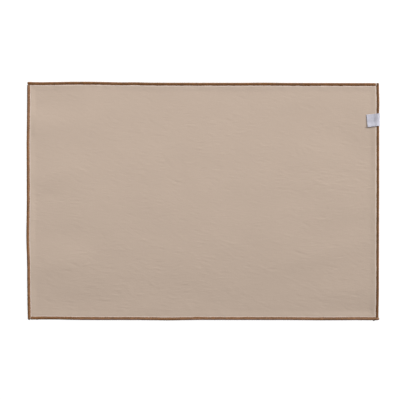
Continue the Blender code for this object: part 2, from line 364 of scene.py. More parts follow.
def stray(run, along):
    """How far a run's outer edge lies outside its straight line."""
    bulges = sum(b.out * np.exp(-(((along - b.at) / b.reach) ** 2)) for b in run.bulges)
    return run.offset + run.slope * along / run.length + bulges


def label_lift(x, y):
    """Height that the label's under leg gives the mat."""
    beside = np.abs(y - LABEL_AT) - SHELF_HALF
    inwards = LABEL_FOLD_OUT - LABEL_UNDER_LEG - SHELF_PAST - x
    top = TAPE_THICKNESS + TAPE_CLEAR
    return top * (1.0 - smooth(beside / SHELF_RAMP)) * (1.0 - smooth(inwards / SHELF_RAMP))


def swell_height(x, y):
    """Sum of the swells and hollows."""
    total = 0.0
    for s in SWELLS:
        u, v = turned(x - s.x, y - s.y, s.turn)
        total += s.high * np.exp(-((u / s.long) ** 2) - (v / s.wide) ** 2)
    return total


def turned(x, y, degrees):
    """The point seen from axes that are turned anticlockwise."""
    cosine, sine = math.cos(math.radians(degrees)), math.sin(math.radians(degrees))
    return x * cosine + y * sine, y * cosine - x * sine


def spaced(start, end, pitch):
    """Even steps from start to end, about a pitch apart."""
    steps = max(1, round((end - start) / pitch))
    return [start + (end - start) * i / steps for i in range(steps + 1)]


def wander(along, pitch, rng):
    """A soft random line that runs between -1 and 1, with a knot each pitch."""
    first, last = along.min(), along.max() + pitch
    knots = np.arange(first, last + pitch, pitch)
    values = rng.uniform(-1.0, 1.0, len(knots))
    place = (along - first) / pitch
    left = np.minimum(place.astype(int), len(knots) - 2)
    return values[left] + (values[left + 1] - values[left]) * smooth(place - left)


def lay_down(relief, crease, wide):
    """Adds one crease to the raster of heights."""
    reach = crease.long / 2 + 3 * wide + abs(crease.bow)
    columns = slice(*(int((crease.x + HALF_X + side * reach) / RASTER) for side in (-1, 1)))
    rows = slice(*(int((crease.y + HALF_Y + side * reach) / RASTER) for side in (-1, 1)))
    columns = slice(max(0, columns.start), columns.stop)
    rows = slice(max(0, rows.start), rows.stop)
    part = relief[rows, columns]
    y, x = np.mgrid[0:part.shape[0], 0:part.shape[1]]
    x = (x + columns.start) * RASTER - HALF_X - crease.x
    y = (y + rows.start) * RASTER - HALF_Y - crease.y
    u, v = turned(x, y, crease.turn)
    run = np.clip(2 * u / crease.long, -1.0, 1.0)
    taper = (1.0 - run * run) ** 2
    across = v - crease.bow * (1.0 - run * run)
    part += crease.high * taper * np.exp(-((across / wide) ** 2))


def ripple_height(x, y):
    """Height of the ripples in the zones round here, as a share of the usual one."""
    gain = 1.0
    for z in ZONES:
        gain += z.gain * math.exp(-(((x - z.x) / z.long) ** 2) - ((y - z.y) / z.wide) ** 2)
    return gain


def ripple_drift(x, y):
    """How far the ripples' direction has drifted here, in degrees."""
    drift = 8.0 * math.sin(x / 47.0 + 1.3) * math.sin(y / 39.0 - 0.6)
    return drift + 5.0 * math.sin((x - 2 * y) / 71.0)


def crease_relief(settings):
    """The raster of crease heights over the whole cloth."""
    shape = (round(2 * HALF_Y / RASTER) + 2, round(2 * HALF_X / RASTER) + 2)
    relief = np.zeros(shape)
    for crease in CREASES:
        high = crease.high * settings.crease_strength
        lay_down(relief, crease._replace(high=high), MAIN_CREASE_WIDE)
    rng = np.random.default_rng(RIPPLE_SEED)
    for number in range(RIPPLE_COUNT):
        x, y = (number * step % 2.0 - 1.0 for step in RIPPLE_STEPS)
        x = x * HALF_X + rng.normal(0.0, RIPPLE_STRAY)
        y = y * HALF_Y + rng.normal(0.0, RIPPLE_STRAY)
        high = RIPPLE_HIGH * settings.ripple_strength * ripple_height(x, y)
        high *= min(RIPPLE_MOST, rng.lognormal(*RIPPLE_UNEVEN))
        turn = RIPPLE_TURN + ripple_drift(x, y) + rng.normal(0.0, RIPPLE_SPREAD)
        curve = rng.normal(0.0, RIPPLE_BOW)
        count = int(rng.integers(*RIPPLE_GROUP))
        for place in range(count):
            aside = (place - (count - 1) / 2) * RIPPLE_GAP + rng.normal(0.0, CRINKLE_ASIDE)
            along = rng.normal(0.0, RIPPLE_STRAY)
            long = rng.lognormal(*RIPPLE_LONG)
            own = turn + rng.normal(0.0, CRINKLE_TURN)
            back_x, back_y = turned(along, aside, -turn)
            bow = (curve + rng.normal(0.0, CRINKLE_BOW)) * long**2
            side = 1.0 if rng.random() < RIPPLE_RIDGES else -1.0
            crease = Crease(x + back_x, y + back_y, long, own, bow, high * side)
            lay_down(relief, crease, rng.uniform(*RIPPLE_WIDE))
    return relief


def read_raster(relief, x, y):
    """The raster's height at points of the cloth, blended between its four nearest values."""
    column = np.clip((x + HALF_X) / RASTER, 0, relief.shape[1] - 1.001)
    row = np.clip((y + HALF_Y) / RASTER, 0, relief.shape[0] - 1.001)
    left, low = column.astype(int), row.astype(int)
    to_right, up = column - left, row - low
    lower = relief[low, left] * (1 - to_right) + relief[low, left + 1] * to_right
    upper = relief[low + 1, left] * (1 - to_right) + relief[low + 1, left + 1] * to_right
    return lower * (1 - up) + upper * up


def inner_share(x, y):
    """0 at the cloth's rim, 1 where it has its full thickness."""
    reach = RIM_LINES[-1] - RIM_LINES[1]
    share_x = smooth((HALF_X - np.abs(x) - RIM_LINES[1]) / reach)
    share_y = smooth((HALF_Y - np.abs(y) - RIM_LINES[1]) / reach)
    return share_x * share_y


def cloth_bottom(x, y):
    """Height of the cloth's underside."""
    return RIM_LIFT * (1.0 - inner_share(x, y)) + label_lift(x, y)


def cloth_thickness(x, y):
    """Thickness of the cloth without its creases."""
    full = CLOTH_THICKNESS + swell_height(x, y)
    return RIM_THICKNESS + (full - RIM_THICKNESS) * inner_share(x, y)


# ==== Meshes ==============================================================================
def grid_slab(columns, rows):
    """A closed slab over the crossings of columns and rows, its face at height 1."""
    bm = bmesh.new()
    bmesh.ops.create_grid(bm, x_segments=len(columns) - 1, y_segments=len(rows) - 1, size=0.5)
    grown = bmesh.ops.extrude_face_region(bm, geom=bm.faces[:], use_keep_orig=True)
    raised = [item for item in grown["geom"] if isinstance(item, bmesh.types.BMVert)]
    bmesh.ops.translate(bm, verts=raised, vec=(0, 0, 1))
    bmesh.ops.recalc_face_normals(bm, faces=bm.faces[:])
    for vert in bm.verts:
        vert.co.x = columns[round((vert.co.x + 0.5) * (len(columns) - 1))]
        vert.co.y = rows[round((vert.co.y + 0.5) * (len(rows) - 1))]
    return bm


def refine_face(bm, axis, cuts, least=-math.inf, most=math.inf):
    """Cuts the edges of a slab's face that run along an axis and lie between two values."""
    edges = []
    for edge in bm.edges:
        start, end = (vert.co for vert in edge.verts)
        on_face = start.z > 0.5 and end.z > 0.5
        along = abs(start[axis] - end[axis]) > 1e-6
        if on_face and along and least < (start[axis] + end[axis]) / 2 < most:
            edges.append(edge)
    bmesh.ops.subdivide_edges(bm, edges=edges, cuts=cuts)


def new_piece(name, bm, finish, place, map_name, map_place):
    """Makes the object of a slab. place gives the millimetres of its vertices, and map_place
    their own map, both from arrays of the slab's column, row and level."""
    mesh = bpy.data.meshes.new(name)
    bm.to_mesh(mesh)
    bm.free()
    grid = np.empty(len(mesh.vertices) * 3, np.float32)
    mesh.vertices.foreach_get("co", grid)
    column, row, level = grid.reshape(-1, 3).astype(float).T
    placed = np.stack(place(column, row, level), axis=1)
    placed[:, 0] += MAT_MIDDLE[0]
    placed[:, 1] += MAT_MIDDLE[1]
    mesh.vertices.foreach_set("co", (placed * MM).astype(np.float32).ravel())
    corner = np.empty(len(mesh.loops), np.int32)
    mesh.loops.foreach_get("vertex_index", corner)
    where = np.stack(map_place(column, row, level), axis=1)[corner]
    layer = mesh.uv_layers.new(name=map_name)
    layer.uv.foreach_set("vector", where.astype(np.float32).ravel())
    mesh.shade_smooth()
    mesh.materials.append(finish)
    mesh.update()
    piece = bpy.data.objects.new(name, mesh)
    bpy.context.scene.collection.objects.link(piece)
    return piece


def cloth_lines(half, pitch):
    """Grid lines across the cloth: close at its rim, a pitch apart between."""
    rim = [half - line for line in RIM_LINES]
    return [-line for line in rim[:-1]] + spaced(-rim[-1], rim[-1], pitch) + rim[-2::-1]


def build_cloth(settings):
    """The cotton panel. Its underside is coarse, and its face fine enough for the creases."""
    bm = grid_slab(cloth_lines(HALF_X, GRID_PITCH[0]), cloth_lines(HALF_Y, GRID_PITCH[1]))
    for axis, half in enumerate((HALF_X, HALF_Y)):
        inner = half - RIM_LINES[-1]
        refine_face(bm, axis, RIM_CUTS, most=-inner)
        refine_face(bm, axis, FACE_CUTS[axis], -inner, inner)
        refine_face(bm, axis, RIM_CUTS, least=inner)
    relief = crease_relief(settings)
    rng = np.random.default_rng(RIPPLE_SEED + 1)

    def pucker(x, y):
        """Small gathers where the thread pulls at the rim."""
        total = 0.0
        for inwards, along in (
            (HALF_X - x, y), (HALF_X + x, y), (HALF_Y - y, x), (HALF_Y + y, x),
        ):
            sunk = np.exp(-((inwards / GATHER_REACH) ** 2))
            total = total + wander(along, GATHER_REACH, rng) * sunk
        return total * settings.pucker / MM

    def shown(half, at):
        """0 where the thread covers the cloth, 1 where its creases are at their full height."""
        return smooth((half - np.abs(at) - CREASES_FROM) / CREASES_OVER)

    def place(x, y, level):
        free = shown(HALF_X, x) * shown(HALF_Y, y)
        height = cloth_bottom(x, y)
        face = cloth_thickness(x, y) + (read_raster(relief, x, y) + pucker(x, y)) * free
        height = height + level * face
        to_right = (x / HALF_X + 1.0) / 2
        to_back = (y / HALF_Y + 1.0) / 2
        move_x = stray(RIGHT, y) * to_right - stray(LEFT, -y) * (1.0 - to_right)
        move_y = stray(BACK, -x) * to_back - stray(FRONT, x) * (1.0 - to_back)
        return x + move_x, y + move_y, height

    def lay(x, y, level):
        return (x + HALF_X) * MM, (HALF_Y - y) * MM

    grid = np.array([vert.co[:] for vert in bm.verts])
    cloth = new_piece("cloth", bm, cloth_finish(settings), place, LAY_MAP, lay)
    layer = cloth.data.attributes.new(CREASE_LAYER, "FLOAT", "POINT")
    values = read_raster(relief, grid[:, 0], grid[:, 1]) * grid[:, 2]
    layer.data.foreach_set("value", values.astype(np.float32))
    return cloth


def run_frame(run, along, inwards):
    """A point of an edging run, in the mat's axes."""
    turn = run.turns * math.pi / 2
    cosine, sine = round(math.cos(turn)), round(math.sin(turn))
    x = along * cosine - inwards * sine + run.reach * sine
    y = along * sine + inwards * cosine - run.reach * cosine
    return x, y


def run_ends(run):
    """Where a run starts, the corner that it is sewn past, and its tip."""
    before, after = RUNS[run.turns - 1], RUNS[(run.turns + 1) % len(RUNS)]
    before_end = before.length / 2
    met = min(stray(before, before_end), stray(before, before_end - EDGING_WIDTH))
    start = EDGING_WIDTH + START_CLEAR - run.length / 2 - met
    corner = run.length / 2 + stray(after, -after.length / 2)
    return start, corner, corner + run.sewn_past


def thread_section(run):
    """The thread's section, row by row from the tip of the foot under the cloth round the
    roll to the one on the face: outwards of the crest, and up from the cloth's middle."""
    angle = np.linspace(-ROLL_MEETS, ROLL_MEETS, ROLL_ROWS + 1)
    out = np.where(np.cos(angle) > 0.0, run.crest, ROLL_WIDE - run.crest) * np.cos(angle)
    up = CUT_IN * np.sin(angle)
    tip = run.crest - run.inner
    halfway = (tip + out[0]) / 2
    out = np.concatenate([(tip, halfway), out, (halfway, tip)])
    up = np.concatenate([[-high for high in FOOT_HIGH], up, FOOT_HIGH[::-1]])
    return out, up


def build_edging(run, settings, finish):
    """One overlocked run: wraps of thread side by side round the cloth's cut edge, each a
    little different, leaning as they go round, and drawn together at the tail."""
    start, corner, tip = run_ends(run)
    wraps = round((tip - start) / (settings.wrap_pitch / MM))
    rng = np.random.default_rng(40 + run.turns)
    pitch = (tip - start) / wraps
    off_place = rng.uniform(-WRAP_STRAY, WRAP_STRAY, wraps + 1)
    edges = start + pitch * (np.arange(wraps + 1) + off_place)
    edges[0], edges[-1] = start, tip
    size = 1.0 + rng.normal(0.0, WRAP_SPREAD, wraps + 1)
    reach = rng.normal(0.0, FOOT_STRAY, wraps + 1)
    fuller = WRAP_DRIFT[1] * wander(edges, WRAP_DRIFT[0], rng)
    reach = reach + FOOT_DRIFT[1] * wander(edges, FOOT_DRIFT[0], rng)
    section_out, section_up = thread_section(run)
    rows = len(section_out) - 1
    bm = grid_slab(list(range(wraps + 1)), list(range(rows + 1)))
    refine_face(bm, 0, WRAP_CUTS)
    depth = settings.groove / MM / CUT_IN

    def place(wrap, row, level):
        round_it = row / rows * 2.0 - 1.0
        row_index = np.rint(row).astype(int)
        foot = np.clip(1.0 - np.minimum(row, rows - row) / FOOT_ROWS, 0.0, 1.0)
        index = np.minimum(wrap.astype(int), wraps - 1)
        share = wrap - index
        in_groove = (share < 0.01) | (share > 0.99)
        crown = np.sqrt(np.clip(1.0 - (2.0 * share - 1.0) ** 2, 0.0, 1.0))
        own = np.where(in_groove, 1.0, size[index])
        scale = own * (WRAP_FULL - depth * (1.0 - crown)) + fuller[index]
        along = np.interp(wrap, np.arange(wraps + 1), edges)
        along = along + settings.wrap_lean * pitch * round_it * level
        along = np.clip(along, start, tip)
        out = section_out[row_index]
        deep = (out - out.min()) / (out.max() - out.min())
        scale = scale + (1.0 - scale) * foot
        out = out * scale - run.crest
        out = out + foot * (FOOT_GAP * (1.0 - crown) - reach[index])
        up = CUT_IN + section_up[row_index] * scale
        mouth = CHANNEL_MOUTH - run.inner
        inner_out = mouth + deep * (-CHANNEL_NOSE - mouth)
        inner_up = CUT_IN + CHANNEL_HALF * np.clip(round_it * 6.0, -1.0, 1.0)
        out = inner_out + (out - inner_out) * level
        up = inner_up + (up - inner_up) * level
        tail = smooth((along - corner + TAIL_START) / (TAIL_START + tip - corner))
        tail = 1.0 - (1.0 - run.tail) * tail
        out = (out + run.crest) * tail - run.crest
        up = np.maximum(up * tail, 0.0)
        if run is RIGHT:
            up = up + label_lift(run.reach, along)
        x, y = run_frame(run, along, -out - stray(run, along))
        return x, y, up

    def turn_map(wrap, row, level):
        return wrap, row * (2 * ROLL_MEETS * CUT_IN * MM / ROLL_ROWS)

    return new_piece(run.name + "_thread", bm, finish, place, TURN_MAP, turn_map)


def add_stitch(bm, middle, turn, long, thick):
    """Adds one sunk stitch, a grain of thread that is thickest in the middle."""
    made = bmesh.ops.create_uvsphere(bm, u_segments=6, v_segments=6, radius=0.5)
    bmesh.ops.scale(bm, verts=made["verts"], vec=(thick, thick, long))
    matrix = Matrix.Translation(middle) @ Matrix.Rotation(turn, 4, "Z")
    matrix = matrix @ Matrix.Rotation(math.pi / 2, 4, "Y")
    bmesh.ops.transform(bm, verts=made["verts"], matrix=matrix)


def finish_grains(name, bm, finish):
    """Makes the object of a bmesh of stitches that is in millimetres."""
    bmesh.ops.translate(bm, verts=bm.verts[:], vec=(*MAT_MIDDLE, 0.0))
    bmesh.ops.scale(bm, verts=bm.verts[:], vec=(MM, MM, MM))
    mesh = bpy.data.meshes.new(name)
    bm.to_mesh(mesh)
    bm.free()
    mesh.shade_smooth()
    mesh.materials.append(finish)
    piece = bpy.data.objects.new(name, mesh)
    bpy.context.scene.collection.objects.link(piece)
    return piece


def build_needle_line(finish):
    """The needle's stitches along the inner side of all four runs."""
    bm = bmesh.new()
    rng = np.random.default_rng(71)
    for run in RUNS:
        inwards = run.inner - STITCH_IN
        start, corner, _ = run_ends(run)
        turn = run.turns * math.pi / 2
        for along in spaced(start + 1.0, corner - EDGING_WIDTH, STITCH_PITCH):
            along += rng.normal(0.0, STITCH_STRAY[0])
            aside = rng.normal(0.0, STITCH_STRAY[1])
            x, y = run_frame(run, along, inwards - stray(run, along) + aside)
            height = STITCH_UP + (float(label_lift(x, y)) if run is RIGHT else 0.0)
            lean = turn + math.radians(rng.normal(*STITCH_LEAN))
            add_stitch(bm, Vector((x, y, height)), lean, STITCH_LONG, STITCH_THICK)
    return finish_grains("needle_line", bm, finish)


def build_thread_ends(finish):
    """Short ends left at the corners where the runs are sewn off."""
    bm = bmesh.new()
    for end in THREAD_ENDS:
        made = bmesh.ops.create_circle(bm, segments=8, radius=end.thick / 2)
        verts = made["verts"]
        bmesh.ops.rotate(bm, verts=verts, matrix=Matrix.Rotation(math.pi / 2, 3, "X"))
        bmesh.ops.translate(bm, verts=verts, vec=(end.bend, 0, 0))
        rim = list({edge for vert in verts for edge in vert.link_edges})
        swept = bmesh.ops.spin(
            bm, geom=verts + rim, cent=(0, 0, 0), axis=(0, 0, 1), steps=8,
            angle=math.radians(end.sweep), use_merge=False,
        )
        last = [item for item in swept["geom_last"] if isinstance(item, bmesh.types.BMVert)]
        tube = {face for vert in verts for face in vert.link_faces}
        while True:
            grown = {f for face in tube for vert in face.verts for f in vert.link_faces}
            if grown == tube:
                break
            tube = grown
        tube_verts = list({vert for face in tube for vert in face.verts})
        open_edges = [edge for vert in verts + last for edge in vert.link_edges]
        open_edges = [edge for edge in set(open_edges) if edge.is_boundary]
        bmesh.ops.holes_fill(bm, edges=open_edges)
        matrix = Matrix.Translation((end.x, end.y, end.z))
        matrix = matrix @ Matrix.Rotation(math.radians(end.turn), 4, "Z")
        bmesh.ops.transform(bm, verts=tube_verts, matrix=matrix)
    bmesh.ops.recalc_face_normals(bm, faces=bm.faces[:])
    return finish_grains("thread_ends", bm, finish)


def tape_line():
    """The tape's middle line, from its end under the mat round the fold to the one on the
    face, as arrays of outwards and up."""
    low = TAPE_THICKNESS / 2
    crest = EDGING_HEIGHT + label_lift(HALF_X, LABEL_AT) + 2 * TAPE_CLEAR + low
    tall = (crest - low) / 2
    crown = LABEL_FOLD_OUT - low - FOLD_DEEP
    under = np.arange(LABEL_FOLD_OUT - LABEL_UNDER_LEG, crown, UNDER_STEP)
    turns = np.linspace(-math.pi / 2, math.pi / 2, FOLD_STEPS + 1)
    over = np.linspace(crown, LABEL_FACE_END, OVER_STEPS + 1)[1:]
    x = np.minimum(over, HALF_X)
    rest = cloth_bottom(x, LABEL_AT) + cloth_thickness(x, LABEL_AT) + TAPE_CLEAR + low
    climb = smooth((over - CLIMB_FROM) / CLIMB_OVER)
    up = rest + (crest - rest) * climb
    out = np.concatenate([under, crown + FOLD_DEEP * np.cos(turns), over])
    up = np.concatenate([np.full(len(under), low), low + tall + tall * np.sin(turns), up])
    return out, up, crown


def face_rise(settings, across, share):
    """How far the tape's leg on the face stands up, at a share of the way to its free end."""
    curl = settings.curl / MM * smooth(-2 * across / TAPE_WIDTH) * np.minimum(1.0, 2.2 * share)
    return curl + TAPE_WAVE * share * (1.0 + np.sin(across * 0.55 + 0.8))


def build_label(settings, finish):
    """The tape label, folded over the right-hand edging, with one corner of its free end
    standing up a little."""
    out, up, crown = tape_line()
    steps = len(out) - 1
    step_out, step_up = np.gradient(out), np.gradient(up)
    long = np.hypot(step_out, step_up)
    normal_out, normal_up = step_up / long, -step_out / long
    length = np.concatenate([[0.0], np.cumsum(np.hypot(np.diff(out), np.diff(up)))])
    half = TAPE_WIDTH / 2
    bm = grid_slab(list(range(steps + 1)), spaced(-half, half, ACROSS_STEP))
    bmesh.ops.reverse_faces(bm, faces=bm.faces[:])

    def place(step, across, level):
        index = np.rint(step).astype(int)
        side = (level - 0.5) * TAPE_THICKNESS
        x = out[index] + normal_out[index] * side
        z = up[index] + normal_up[index] * side
        on_face = (out[index] < crown) & (index > steps / 2)
        inwards = np.maximum(0.0, crown - out[index])
        share = inwards / (crown - LABEL_FACE_END)
        lean = np.where(on_face, -1.0, 1.0) * inwards * LABEL_ASKEW
        x = x - across * LABEL_ASKEW * share * on_face
        return x, LABEL_AT + across + lean, z + face_rise(settings, across, share) * on_face

    def tape_map(step, across, level):
        index = np.rint(step).astype(int)
        return (across + half) * MM, length[index] * MM

    label = new_piece("label_tape_fold", bm, finish, place, TAPE_MAP, tape_map)
    return label, length[-1]


def build_label_tacks(settings, finish):
    """A row of small stitches through the label's face beside the edging."""
    bm = bmesh.new()
    out, up, crown = tape_line()
    inwards = crown - TACKS_AT
    share = inwards / (crown - LABEL_FACE_END)
    height = float(np.interp(-TACKS_AT, -out[-OVER_STEPS:], up[-OVER_STEPS:]))
    half_row = TAPE_WIDTH / 2 - TACKS_IN
    for across in spaced(-half_row, half_row, TACK_PITCH):
        x = TACKS_AT - across * LABEL_ASKEW * share
        y = LABEL_AT + across - inwards * LABEL_ASKEW
        rise = float(face_rise(settings, across, share)) + TAPE_THICKNESS / 2
        add_stitch(bm, Vector((x, y, height + rise)), math.pi / 2, TACK_LONG, TACK_THICK)
    return finish_grains("label_tacks", bm, finish)


# ==== Finishes ============================================================================
class Value:
    """A number or a vector in a shader. Python's operators on it add Math nodes."""

    def __init__(self, finish, socket):
        self.finish = finish
        self.socket = socket

    def math(self, operation, *others):
        values = dict(enumerate((self, *others)))
        return self.finish.node("ShaderNodeMath", {"operation": operation}, values)

    def part(self, output):
        """Another output of the node that this one comes from."""
        return Value(self.finish, self.socket.node.outputs[output])

    def __add__(self, other):
        return self.math("ADD", other)

    def __mul__(self, other):
        return self.math("MULTIPLY", other)

    def __sub__(self, other):
        return self.math("SUBTRACT", other)

    def __rsub__(self, other):
        return self * -1.0 + other

    __radd__ = __add__
    __rmul__ = __mul__


class Nodes:
    """A node tree with its shader, and ways to add to it."""

    def __init__(self, tree, shader):
        self.tree = tree
        self.shader = tree.nodes[shader]

    def node(self, kind, settings=None, values=None, output=0):
        """Adds a node: first its settings, then the values or links of its sockets."""
        made = self.tree.nodes.new(kind)
        for name, value in (settings or {}).items():
            setattr(made, name, value)
        for name, value in (values or {}).items():
            if isinstance(value, Value):
                self.tree.links.new(value.socket, made.inputs[name])
            else:
                made.inputs[name].default_value = value
        return Value(self, made.outputs[output])

    def feed(self, socket, value):
        """Links a value to the shader."""
        self.tree.links.new(value.socket, self.shader.inputs[socket])

    def own_map(self, name):
        return self.node("ShaderNodeUVMap", {"uv_map": name})

    def across(self, place):
        """The numbers that a vector holds."""
        x = self.node("ShaderNodeSeparateXYZ", None, {0: place})
        return x, x.part(1)

    def stretched(self, place, turn, sizes):
        """A vector turned by some degrees and divided by the sizes of a pattern."""
        scale = [1.0 / size for size in sizes]
        turned_place = self.node(
            "ShaderNodeMapping",
            {"vector_type": "TEXTURE"},
            {"Vector": place, "Rotation": (0.0, 0.0, math.radians(turn))},
        )
        return self.node(
            "ShaderNodeVectorMath", {"operation": "MULTIPLY"}, {0: turned_place, 1: scale}
        )

    def noise(self, place, turn, sizes, detail=1.0, distortion=0.0):
        """Soft noise with patches of the given sizes."""
        where = self.stretched(place, turn, sizes)
        values = {"Vector": where, "Scale": 1.0, "Detail": detail, "Distortion": distortion}
        return self.node("ShaderNodeTexNoise", None, values)

    def mix(self, factor, low, high):
        """A colour between two."""
        values = {0: factor, 6: low, 7: high}
        return self.node("ShaderNodeMix", {"data_type": "RGBA"}, values, output=2)

    def ramp(self, value, start, end, low=0.0, high=1.0):
        """Eases a value's range from start to end into one from low to high."""
        values = {0: value, 1: start, 2: end, 3: low, 4: high}
        return self.node("ShaderNodeMapRange", {"interpolation_type": "SMOOTHSTEP"}, values)

    def bump(self, height):
        """Feeds a height in metres to the surface."""
        values = {"Strength": 1.0, "Distance": 1.0, "Height": height}
        self.feed("Normal", self.node("ShaderNodeBump", None, values))


class Finish(Nodes):
    """A material and the nodes that make it."""

    def __init__(self, name, sockets):
        self.material = bpy.data.materials.new(name)
        self.material.use_nodes = True
        super().__init__(self.material.node_tree, "Principled BSDF")
        for socket, value in sockets.items():
            self.shader.inputs[socket].default_value = value


def shade(colour, gain):
    """A colour made lighter or darker, with full alpha."""
    return (*(min(1.0, channel * gain) for channel in colour), 1.0)


def cloth_finish(settings):
    """Washed cotton: a plain weave of uneven yarns, fine dry crinkles with painted highlight on
    their ridges and painted shade in their troughs, a painted pale halo along the sewn rim, and
    cloudy patches where the dye took unevenly."""
    made = Finish("washed_cotton", {"Sheen Weight": 0.12, "Sheen Roughness": 0.6})
    lay = made.own_map(LAY_MAP)
    x, y = made.across(lay)
    pitch = settings.yarn_pitch
    warp = made.noise(lay, 0.0, (pitch, pitch * 16, 1.0))
    weft = made.noise(lay, 0.0, (pitch * 16, pitch, 1.0))
    over = (x * (math.pi / pitch)).math("SINE") * (y * (math.pi / pitch)).math("SINE")
    weave = (warp + weft) * 0.5 + over * 0.25
    sway = made.noise(lay, 0.0, (0.09, 0.06, 1.0)).part("Color")
    bent = made.node(
        "ShaderNodeVectorMath",
        {"operation": "MULTIPLY_ADD"},
        {0: sway, 1: (0.05, 0.05, 0.0), 2: lay},
    )
    fine = made.noise(bent, 13.0, (0.010, 0.0017, 1.0), detail=2.0, distortion=0.5)
    ridges = 1.0 - ((fine - 0.5) * 4.0).math("ABSOLUTE")
    cloud = made.noise(lay, 8.0, (0.075, 0.04, 1.0), detail=2.0)
    crease = made.node("ShaderNodeAttribute", {"attribute_name": CREASE_LAYER}, output=2)
    edge_x = x.math("MINIMUM", 2 * HALF_X * MM - x)
    edge_y = y.math("MINIMUM", 2 * HALF_Y * MM - y)
    # Painted highlight: a pale halo on the cotton beside the thread, full up to 3 mm in from the
    # cut edge and gone by 4.1 mm.
    rim = made.ramp(edge_x.math("MINIMUM", edge_y), 0.0030, 0.0041, 1.0, 0.0)

    tone = 0.5 + (warp + weft - 1.0) * 0.35 + (cloud - 0.5) * 0.45
    # Painted highlight on the crease ridges and fine crinkles, and painted shade in their
    # troughs: the tone follows their height.
    tone = tone + crease * 0.9 + (ridges - 0.5) * 0.05
    cotton = made.mix(tone, shade(settings.colour, 0.93), shade(settings.colour, 1.07))
    made.feed("Base Color", made.mix(rim, cotton, shade(settings.rim_halo_colour, 1.0)))
    made.feed("Roughness", 0.97 - tone * 0.08)
    made.bump(weave * settings.weave_depth + ridges * settings.crinkle_depth)
    return made.material


def thread_finish(settings):
    """Brown sewing thread: each wrap its own shade, two plies twisted with painted shade between
    them, a dull shine.
    """
    made = Finish("edging_thread", {"Specular IOR Level": 0.45})
    turns = made.own_map(TURN_MAP)
    wrap, round_it = made.across(turns)
    number = wrap.math("FLOOR")
    own = made.node("ShaderNodeTexWhiteNoise", {"noise_dimensions": "1D"}, {"W": number})
    ply = round_it * (2 * math.pi / 0.0011) + (wrap - number) * 5.0 + own * 6.0
    twist = ply.math("SINE")
    place = made.node("ShaderNodeTexCoord", output=3)
    fibre = made.noise(place, 0.0, (0.0004, 0.0004, 0.0004))
    faded = made.noise(place, 0.0, (0.014, 0.014, 0.014))
    # The twist's height also feeds the tone: painted shade in the grooves between the plies and
    # painted highlight on their crowns.
    tone = 0.5 + (own - 0.5) * 0.6 + (fibre - 0.5) * 0.5 + (faded - 0.5) * 0.8 + twist * 0.1
    made.feed(
        "Base Color", made.mix(tone, shade(settings.colour, 0.72), shade(settings.colour, 1.28))
    )
    made.feed("Roughness", 0.58 - tone * 0.1)
    made.bump(twist * 0.00003 + fibre * 0.00003)
    return made.material


def stitch_finish(name, colour):
    """Plain twisted thread for stitches that have no map of their own."""
    made = Finish(name, {"Specular IOR Level": 0.45})
    place = made.node("ShaderNodeTexCoord", output=3)
    fibre = made.noise(place, 0.0, (0.0003, 0.0003, 0.0003))
    own = made.noise(place, 0.0, (0.004, 0.004, 0.004))
    tone = 0.5 + (fibre - 0.5) * 0.7 + (own - 0.5) * 0.7
    # Between 0.9 and 1.35 times the colour given, so lighter on the whole: on the needle line
    # this makes a lit copy of the thread's colour, painted light.
    made.feed("Base Color", made.mix(tone, shade(colour, 0.9), shade(colour, 1.35)))
    made.feed("Roughness", 0.65 - tone * 0.1)
    made.bump(fibre * 0.00004)
    return made.material


def tape_finish(settings):
    """Woven tape: fine ribs across it and warp lines along it, with painted highlight on them
    and painted shade between, firmer selvedges.
    """
    made = Finish("label_tape", {"Sheen Weight": 0.1, "Sheen Roughness": 0.4})
    place = made.own_map(TAPE_MAP)
    x, y = made.across(place)
    ribs = (y * (2 * math.pi / settings.rib_pitch)).math("SINE")
    lines = (x * (2 * math.pi / (settings.rib_pitch * 1.4))).math("SINE")
    uneven = made.noise(place, 0.0, (0.006, 0.0006, 1.0))
    cloud = made.noise(place, 20.0, (0.006, 0.006, 1.0))
    selvedge = made.ramp(x.math("MINIMUM", TAPE_WIDTH * MM - x), 0.0, 0.0011, 1.0, 0.0)
    # The ribs and warp lines also feed the tone: painted highlight where they stand up and
    # painted shade between them.
    tone = 0.5 + ribs * 0.12 + lines * 0.08 + (uneven - 0.5) * 0.5 + (cloud - 0.5) * 0.5
    tone = tone + selvedge * 0.3
    made.feed(
        "Base Color", made.mix(tone, shade(settings.colour, 0.9), shade(settings.colour, 1.08))
    )
    made.feed("Roughness", 0.68 - tone * 0.14)
    made.bump(ribs * 0.00003 + lines * 0.00002 + selvedge * 0.0001)
    return made.material


def floor_finish(colour):
    """The studio's plain pale floor."""
    sockets = {
        "Base Color": (*colour, 1.0),
        "Roughness": 0.9,
        "Emission Color": (1.0, 1.0, 1.0, 1.0),
        "Emission Strength": 0.93,
    }
    return Finish("studio_floor", sockets).material


# ==== Settings ============================================================================
class ClothSettings(bpy.types.PropertyGroup):
    colour: FloatVectorProperty(
        name="Colour", description="Usual colour of the cotton", subtype="COLOR",
        default=(0.413, 0.323, 0.258), min=0.0, max=1.0,
    )
    # The pale halo's colour: painted highlight on the cotton beside the thread.
    rim_halo_colour: FloatVectorProperty(
        name="Rim colour", description="Colour of the rubbed cotton beside the thread",
        subtype="COLOR", default=(0.54, 0.445, 0.38), min=0.0, max=1.0,
    )
    yarn_pitch: FloatProperty(
        name="Yarn pitch", description="From one yarn of the weave to the next",
        default=0.0006, unit="LENGTH",
    )
    weave_depth: FloatProperty(
        name="Weave depth", description="How far the yarns stand out",
        default=0.00005, precision=6, unit="LENGTH",
    )
    crinkle_depth: FloatProperty(
        name="Dry crinkle depth", description="Height of the finest crinkles, in the finish",
        default=0.00004, precision=6, unit="LENGTH",
    )
    pucker: FloatProperty(
        name="Pucker", description="Height of the gathers along the sewn rim",
        default=0.00016, precision=6, unit="LENGTH",
    )
    crease_strength: FloatProperty(
        name="Main creases", description="Times the height that a main crease is listed with",
        default=1.8, min=0.0,
    )
    ripple_strength: FloatProperty(
        name="Ripples", description="Times the ripples' usual height", default=1.0, min=0.0,
    )


